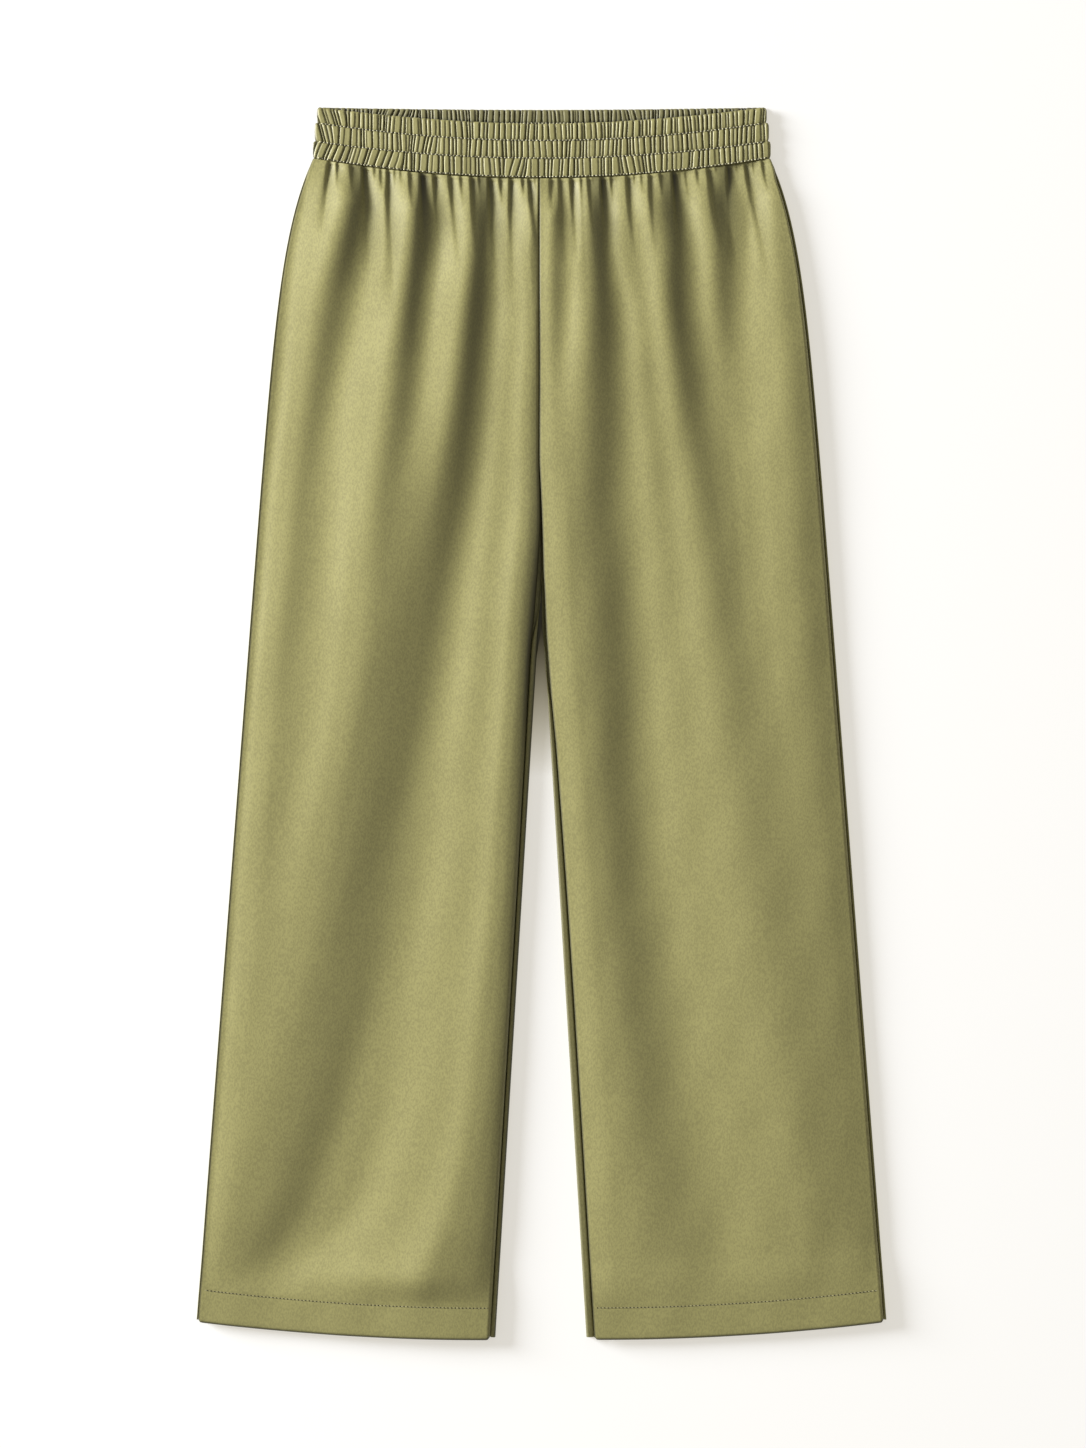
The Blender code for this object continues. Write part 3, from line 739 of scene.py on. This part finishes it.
def folds_height(leg, x, down, outer, inner, above_hem):
    """The long folds: their height, which is the tilts between the lines added up from the leg's -X
    edge on, and their tilt."""
    start, end = (-outer, -inner) if leg == "right" else (inner, outer)
    start_height, end_height = (through(FOLD_LEVELS, edge, down) * MM for edge in EDGES[leg])
    places = [through(FOLD_LEVELS, line, down) * MM for line, _ in FOLDS[leg]]
    stiffened = smooth((HEM_DEPTH + HEM_STIFF_RUN - above_hem) / HEM_STIFF_RUN)
    scale = FOLD_SCALE * (1 - HEM_STIFFNESS * stiffened)
    tilts = [through(FOLD_LEVELS, tilt, down) * scale / 100 for _, tilt in FOLDS[leg]]
    rising = mix(RISE_SHARE, 1.0, smooth((down - RISE_START) / (RISE_END - RISE_START)))
    tilts = [np.where(tilt > 0, rising * tilt, tilt) for tilt in tilts]
    places = [start] + places + [end]
    tilts = [tilts[0] * START_TILT[leg]] + tilts + [tilts[-1]]
    for k in range(1, len(places)):
        places[k] = np.minimum(np.maximum(places[k], places[k - 1] + LINE_GAP), end)
    height = np.zeros_like(x)
    total = np.zeros_like(x)
    here = tilts[0]
    for k in range(len(places) - 1):
        run = np.maximum(places[k + 1] - places[k], 1e-7)
        t = np.clip((x - places[k]) / run, 0, 1)
        turn = tilts[k + 1] - tilts[k]
        height += run * (tilts[k] * t + turn * (t**3 - t**4 / 2))
        total += run * (tilts[k] + turn / 2)
        here = here + turn * smooth(t)
    level = (x - start) / (end - start)
    return height + start_height + (end_height - start_height - total) * level, here


def no_lower(height, lowest, softness):
    """The height, stopped softly before it dips below the lowest."""
    return lowest + softness * np.logaddexp(0, (height - lowest) / softness)


def crease_depth(leg, x, below):
    """Depth of the creases under the waistband. Where two meet, they run into one."""
    total = np.zeros_like(x)
    for place, drift, run, depth in CREASES[leg]:
        line = place * MM + drift / 100 * below
        width = CREASE_WIDTH + CREASE_WIDENS * below
        off = (x - line - 0.5 * MM) / width - 1
        off = np.where(off < 0, -off * CREASE_FALL, off * CREASE_RISE)
        left_over = np.clip(1 - below / (CREASE_LONG * run * MM), 0, 1)
        starts = 0.55 + 0.45 * smooth(below / CREASE_STARTS)
        total += (CREASE_DEEP * depth * MM * starts * left_over * np.exp(-(off**1.6))) ** 3
    return np.cbrt(total)


def front_height(leg, x, outer, inner, down, below, above_hem):
    """Height of the outside of a front panel, and how much painted shade darkens it."""
    from_edges = (x + outer, -inner - x) if leg == "right" else (x - inner, outer - x)
    height, tilt = folds_height(leg, x, down, outer, inner, above_hem)
    height *= mix(HELD_AT_SEAM, 1.0, smooth(below / HELD_RUN))
    height = no_lower(height, LOWEST_FOLD, 0.5 * MM)
    height += PUFF * np.exp(-below / PUFF_RUN)
    crease = crease_depth(leg, x, below)
    height = no_lower(height - crease, LOWEST_CREASE, 0.3 * MM)
    ripple = np.sin(x / 0.0093 + down / 0.031 + SIDES[leg]) * np.sin(down / 0.057 + x / 0.04)
    height += RIPPLE * ripple
    height += SEAM_RIDGE * bell((np.minimum(*from_edges) - 1.5 * MM) / (0.8 * MM))
    height -= SEAM_PINCH * (1 - rounded(below / PINCH_RUN))
    for from_edge, (width, depth) in zip(from_edges, SEAM_TURNS):
        height -= depth * (1 - rounded(from_edge / width))
    height -= HEM_ROW_DIP * bell((above_hem - HEM_DEPTH) / HEM_ROW_DIP_HALF)
    height -= HEM_EDGE_DROP * (1 - rounded(above_hem / HEM_EDGE_RUN))
    # Painted shade: the -X edge, the hem's edge, deep creases, steeply falling fold sides, and the
    # right leg's edge where the legs meet
    dark = EDGE_SHADE * bell(from_edges[0] / EDGE_SHADE_RUN) + bell(above_hem / HEM_SHADE_RUN)
    dark += CREASE_SHADE * np.clip(crease / (4 * MM), 0, 1) ** 2
    dark += FOLD_SHADE * smooth((-tilt - STEEP_FROM) / STEEP_RUN)
    if leg == "right":
        meets = smooth((down - 0.220) / 0.120) * (1 - 0.7 * smooth((down - 0.460) / 0.110))
        dark += PARTING_SHADE * meets * np.exp(-from_edges[1] / PARTING_RUN)
    return FRONT_HEIGHT + hem_lift(above_hem) + height, np.minimum(dark, 1.0)


def front_point(leg, share, below_share):
    """x, how far down, z and painted shade on the outside of a front panel, from shares of the panel's
    width, from the side, and of its length."""
    u = share
    down = BAND_DEPTH
    for _ in range(4):  # the seam hangs with x, which itself depends on how far down the seam is
        down = front_seam((1 - u) * side_edge(down))
    top = down + SEAM_GAP
    down = mix(top, hem_line(u), below_share)
    outer = front_side(leg, down)
    inner = front_inseam(leg, down)
    x = SIDES[leg] * mix(outer, inner, u)
    z, dark = front_height(leg, x, outer, inner, down, down - top, hem_line(u) - down)
    return x, down, z, dark


def place_front(leg):
    """Where the points of a front panel go."""

    def place(column, row, inside):
        even = column / FRONT_COLUMNS
        share = even - EDGE_SPREAD / (2 * np.pi) * np.sin(2 * np.pi * even)
        level = np.interp(row, np.arange(len(FRONT_ROWS)), FRONT_ROWS) / PANEL_LENGTH
        x, down, z, dark = front_point(leg, share, level)
        return x, down, np.where(inside, z - CLOTH, z), dark

    return place


for leg in SIDES:
    grid = cloth_grid(FRONT_COLUMNS, len(FRONT_ROWS) - 1, doubled=False)
    fine_rows = int(np.searchsorted(FRONT_ROWS, FINE_ROWS_END)) + 0.01
    across = [
        edge for edge in grid.edges
        if abs(edge.verts[0].co.y - edge.verts[1].co.y) < 0.01 and edge.verts[0].co.y < fine_rows
    ]
    bmesh.ops.subdivide_edges(grid, edges=across, cuts=1, use_grid_fill=True)
    double_layer(grid)
    front = add_cloth(f"front_{leg}_satin", grid, place_front(leg), right_side)
    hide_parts(f"front_{leg}")
    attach(front, "root")

# Turn-ups
# The hems' turned-up strips, inside each leg between the two panels. They show the satin's duller
# wrong side where the hem opens.

wrong_side = satin("satin_wrong_side", (0.262, 0.238, 0.112), (0.236, 0.212, 0.098), 0.58, 0.15)
TURN_UP_CLOTH = 0.6 * MM
TURN_UP_COLUMNS = 90
TURN_UP_ROWS = 12
TURN_UP_GAP = 0.25 * MM
TURN_UP_INSETS = (1.2 * MM, 7.6 * MM)  # how far it stays inside the side's roll, and the inner edge


def place_turn_up(leg, panel):
    """Where the points of a turn-up go."""

    def place(column, row, inside):
        u = column / TURN_UP_COLUMNS
        part = row / TURN_UP_ROWS
        down = hem_line(u) - 0.4 * MM - (HEM_DEPTH - 1 * MM) * (1 - part)
        outer = side_edge(down) - SIDE_ROLLS[leg] - TURN_UP_INSETS[0]
        inner = inseam_edge(leg, down) + TURN_UP_INSETS[1]
        x = SIDES[leg] * mix(outer, inner, u)
        if panel == "front":
            sides = front_side(leg, down), front_inseam(leg, down)
            outside, _ = front_height(leg, x, *sides, down, down, hem_line(u) - down)
            top = outside - CLOTH - TURN_UP_GAP
        else:
            wave = 0.15 * MM * np.sin(u * 37 + part * 2) * np.sin(u * 11)
            top = underside(leg, u, down) + CLOTH + TURN_UP_GAP + TURN_UP_CLOTH + wave
        return x, down, top - np.where(inside, TURN_UP_CLOTH, 0), 0.0

    return place


for leg in SIDES:
    for panel in ("back", "front"):
        turn_up = add_cloth(
            f"hem_{panel}_{leg}_satin",
            cloth_grid(TURN_UP_COLUMNS, TURN_UP_ROWS),
            place_turn_up(leg, panel),
            wrong_side,
        )
        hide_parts(f"hem_{panel}_{leg}")
        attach(turn_up, "root")

# Waistband
# A folded strip of satin with wide elastic inside, front and back halves joined at the sides. Two
# rows of stitches part it into three channels, and the elastic draws each into rounded gathers.

band_satin = satin("satin_waistband", (0.330, 0.306, 0.112), (0.290, 0.267, 0.097), 0.52, 0.0)
# A darker copy of the waistband's satin: painted shade for the inside of the back half
band_inside_painted_shade = satin("satin_waistband_inside", (0.212, 0.196, 0.072), (0.178, 0.164, 0.060), 0.56, 0.0)
BAND_COLUMNS = 840
CHANNEL_ROWS = 15
# Where the top edge, the two stitch rows and the seam lie at the sides and in the middle, in mm
BANDS = {
    "back": {"side": (0.0, 12.9, 28.4, 43.4), "middle": (2.0, 13.2, 29.4, 45.4),
             "gathers": (104, 98, 94), "floor": 0.0, "seed": 21},
    "front": {"side": (0.4, 13.2, 28.9, 43.4), "middle": (14.3, 28.2, 43.2, 60.2),
              "gathers": (102, 98, 88), "floor": 4.3 * MM, "seed": 8},
}
TOP_BOW = 1.75  # the front's top edge bows a little more sharply at the sides than the rows below
CHANNEL_STEPS = (-1.0 * MM, 0.9 * MM, 2.4 * MM)  # each channel stands out further at the side
BAND_SWELL = (-0.2 * MM, 0.9 * MM)  # and each swells, from a row of stitches to its middle
VALLEY = (0.9 * MM, 1.1 * MM)  # height of the valleys between gathers, at a row and in a channel
GATHER = (1.5 * MM, 2.1 * MM)  # height of the gathers above them
GATHER_WIDTHS = (0.5, 1.5)  # from the narrowest to the widest
GATHER_SPREAD = 2 * MM  # how far past the sides the gathers are laid out
GROOVE = (0.9 * MM, 0.55 * MM)  # half the width of a valley, at a row and in a channel
VALLEY_SHADE = 0.85  # painted shade: the deepest valleys are this much darker
OPENING_SHADE = 0.70  # and so is the inside of the back half, just above the front half's top edge
OPENING_RUN = 1.8 * MM
BAND_EDGE_SHADE = 0.75  # and the -X end
BAND_EDGE_SHADE_RUN = 0.9 * MM
TOP_CHANNEL = 13  # how deep a channel is near the top edge and near the seam, in millimetres
SEAM_CHANNEL = 14
STITCH_ROW = 0.04  # the share of a channel in which it gives way to the next
SLANTS = {  # leaning gathers: channel, from and to across in mm, lean
    "front": ((2, -200, -112, -0.40), (2, -36, -8, -0.34), (0, -200, -160, 0.22), (1, -200, -170, 0.28),
              (1, -120, -84, -0.22), (2, 60, 105, 0.16), (1, 120, 150, 0.14)),
    "back": ((0, -150, -100, -0.3), (0, 60, 90, 0.25)),
}


def gather_channels(band):
    """For each channel: the places between its gathers, how high and how crowned each gather is, and
    how high the valleys between them lie."""
    uneven = random.Random(BANDS[band]["seed"])
    channels = []
    for count in BANDS[band]["gathers"]:
        widths = np.array([uneven.uniform(*GATHER_WIDTHS) for _ in range(count)])
        edges = np.concatenate([[0], np.cumsum(widths)]) / widths.sum() * 2 - 1
        heights = np.array([uneven.uniform(0.78, 1.0) for _ in range(count)])
        heights *= np.clip(widths, 0, 1) ** 0.3
        crowns = np.array([uneven.uniform(0.05, 0.26) for _ in range(count)])
        floors = np.array([uneven.uniform(0.0, 0.8) ** 2 for _ in range(count + 1)])
        channels.append((edges * (WAIST_HALF + GATHER_SPREAD), heights, crowns, floors))
    return channels


def gather_wave(channel, x, q):
    """0 in a deep valley, and up to 1 on a gather, which rises a little towards +X."""
    edges, heights, crowns, floors = channel
    i = np.clip(np.searchsorted(edges, x) - 1, 0, len(heights) - 1)
    t = np.clip((x - edges[i]) / (edges[i + 1] - edges[i]), 0, 1)
    crest = heights[i] * (1 - crowns[i] * (1 - smooth(t * 1.1)))
    narrow = mix(*GROOVE, 1 - np.abs(q) ** 3)
    left = 1 - bell((x - edges[i]) / narrow)
    right = 1 - bell((edges[i + 1] - x) / narrow)
    return np.minimum(mix(floors[i], crest, left), mix(floors[i + 1], crest, right))


def at_channels(values, v):
    """The value of the channel at v, which changes quickly across a row of stitches."""
    value = mix(values[0], values[1], smooth((v - 1) / STITCH_ROW / 2 + 0.5))
    return mix(value, values[2], smooth((v - 2) / STITCH_ROW / 2 + 0.5))


def band_surface(band, across, v):
    """The band's face, from across (-1 to 1) and channels down (0 to 3): x, how far down, its height
    above the band's floor, and the gather there, from 0 in a valley to 1."""
    shape = BANDS[band]
    knots = np.arange(4)
    side = np.interp(v, knots, shape["side"]) * MM
    middle = np.interp(v, knots, shape["middle"]) * MM
    bend = np.abs(across) ** mix(TOP_BOW, 2, np.clip(v, 0, 1))
    down = mix(side, middle, 1 - bend)
    channel = np.clip(np.floor(v), 0, 2).astype(int)
    q = 2 * (v - channel) - 1
    swell = 1 - np.abs(q) ** 5
    half = WAIST_HALF + at_channels(CHANNEL_STEPS, v) + mix(*BAND_SWELL, swell)
    half -= 1.2 * MM * (1 - rounded(v * TOP_CHANNEL / 2.5))
    x = across * half
    waves = []
    for k, gathers in enumerate(CHANNELS[band]):
        lean = 0.05 * np.sin(x / 0.017 + k * 2.1) + 0.04 * np.sin(x / 0.0061 + k)
        for slanted, start, end, slope in SLANTS[band]:
            if slanted == k:
                inside = smooth((x - start * MM) / 0.012) * smooth((end * MM - x) / 0.012)
                lean = lean + slope * inside
        waves.append(gather_wave(gathers, x - lean * (v - k - 0.5) * SEAM_CHANNEL * MM, q))
    wave = at_channels(waves, v)
    raised = mix(*VALLEY, swell) + mix(*GATHER, swell) * wave
    return x, down, raised, wave


def place_band(band):
    """Where the points of half the waistband go."""

    def place(column, row, inside):
        across = 2 * column / BAND_COLUMNS - 1
        k = np.clip(np.floor(row / CHANNEL_ROWS), 0, 2)
        t = row / CHANNEL_ROWS - k
        v = k + t - 0.6 / (2 * np.pi) * np.sin(2 * np.pi * t)
        x, down, raised, wave = band_surface(band, across, v)
        under = 0.85 * MM * (1 - wave) ** 2 + 0.25 * MM
        side_closed = rounded((1 - np.abs(across)) * WAIST_HALF / (2.2 * MM))
        from_top = v * TOP_CHANNEL
        from_seam = (3 - v) * SEAM_CHANNEL
        top_closed = rounded(from_top / 1.8)
        seam_closed = mix(0.35, 1.0, rounded(from_seam / 1.4))
        closed = side_closed * top_closed * seam_closed
        middle = mix(0.5 * MM, 1.3 * MM, rounded(from_seam / 3))
        above = middle + (raised - middle) * closed
        beneath = middle - (middle - under) * closed
        down = down - 0.45 * MM * wave * (1 - rounded(from_top / 5))
        down = down + 0.35 * MM * (wave - 0.5) * (1 - rounded(from_seam / 3))
        z = BANDS[band]["floor"] + np.where(inside, beneath, above)
        # Painted shade: the -X end, the valleys between gathers, and on the back half the inside just
        # above the front half's top edge
        dark = BAND_EDGE_SHADE * bell((1 + across) * WAIST_HALF / BAND_EDGE_SHADE_RUN)
        dark += VALLEY_SHADE * (1 - wave) ** 1.7
        if band == "back":
            ends = (BANDS["front"][level][0] * MM for level in ("side", "middle"))
            above_front = mix(*ends, 1 - np.abs(across) ** TOP_BOW) - down
            dark += OPENING_SHADE * bell(above_front / OPENING_RUN)
        return x, down, z, np.minimum(dark, 1)

    return place


CHANNELS = {band: gather_channels(band) for band in BANDS}
for band in BANDS:
    strip = add_cloth(
        f"waistband_{band}_satin",
        cloth_grid(BAND_COLUMNS, 3 * CHANNEL_ROWS),
        place_band(band),
        band_satin,
    )
    if band == "back":  # its upper face, the inside of the waistband, gets a darker copy of the satin: painted shade from the opening
        strip.data.materials.append(band_inside_painted_shade)
        for face in strip.data.polygons:
            face.material_index = int(face.normal.z > 0)
    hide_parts(f"waistband_{band}")
    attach(strip, "root")

# Stitching
# Lockstitch in thread that matches the satin, drawn lighter as painted highlight on the stitches: a
# row round each hem, two rows round the waistband, and the row that joins the waistband to the
# panels. Between the lengths of thread, dark beads are painted shade in the needle holes.

# The thread's own olive, lightened as painted highlight on the stitches
thread = satin("thread_with_painted_highlight", (0.680, 0.650, 0.430), (0.560, 0.530, 0.330), 0.45, 0.0)
# Near-black beads for the holes: painted shade where the thread dives into the satin
needle_hole_painted_shade = satin("needle_hole_painted_shade", (0.022, 0.019, 0.008), (0.014, 0.012, 0.005), 0.9, 0.0)
# Pitch, how wide the thread looks, and how wide and long a hole's painted shade is, in millimetres
STITCH_SIZES = {"hem": (3.1, 0.4, 1.2, 1.2), "waistband": (3.3, 1.3, 1.3, 1.1)}
THREAD_SHARE = 0.58  # of a stitch, the rest is where the thread dives into its hole
THREAD_RISE = 0.4 * MM  # the waistband's thread, above the cloth of its row
THREAD, HOLE = 0, 1  # the materials of a row: the thread, and the painted shade of the holes


def sew(name, kind, points):
    """A row of stitches along the points: short rounded lengths of thread, and between them dark
    beads, painted shade in the needle holes.
    """
    pitch, thread_wide, hole_wide, hole_long = (size * MM for size in STITCH_SIZES[kind])
    points = np.array(points)
    steps = np.linalg.norm(np.diff(points, axis=0), axis=1)
    reach = np.concatenate([[0], np.cumsum(steps)])
    builder = bmesh.new()

    def bead(middle, length, wide, material):
        start, end = (
            Vector([np.interp(middle + part * length, reach, points[:, axis]) for axis in range(3)])
            for part in (-0.5, 0.5)
        )
        run = end - start
        turn = run.to_track_quat("X", "Z").to_matrix().to_4x4()
        size = Matrix.Diagonal((run.length / 2, wide / 2, wide / 2, 1))
        place = Matrix.Translation((start + end) / 2) @ turn @ size
        made = bmesh.ops.create_uvsphere(builder, u_segments=6, v_segments=4, radius=1, matrix=place)
        for point in made["verts"]:
            for face in point.link_faces:
                face.material_index = material

    for k in range(int(reach[-1] / pitch)):
        bead((k + 0.5) * pitch, THREAD_SHARE * pitch, thread_wide, THREAD)
        bead((k + 1) * pitch, hole_long, hole_wide, HOLE)
    mesh = bpy.data.meshes.new(name)
    builder.to_mesh(mesh)
    builder.free()
    mesh.shade_smooth()
    mesh.materials.append(thread)
    mesh.materials.append(needle_hole_painted_shade)
    row = bpy.data.objects.new(name, mesh)
    bpy.context.scene.collection.objects.link(row)
    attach(row, "root")


for leg in SIDES:
    across = np.linspace(0.012, 0.988, 300)
    part = 1 - HEM_DEPTH / (hem_line(across) - front_seam(0.1))
    x, down, z, _ = front_point(leg, across, part)
    points = np.stack([x, LENGTH / 2 - down, z], axis=1)
    sew(f"hem_stitches_front_{leg}", "hem", points)

for band in BANDS:
    for row, level in (("upper", 1.0), ("lower", 2.0), ("seam", 2.93)):
        across = np.linspace(-0.985, 0.985, 1400)
        x, down, raised, _ = band_surface(band, across, np.full_like(across, level))
        points = np.stack([x, LENGTH / 2 - down, BANDS[band]["floor"] + raised + THREAD_RISE], axis=1)
        sew(f"waistband_stitches_{band}_{row}", "waistband", points)
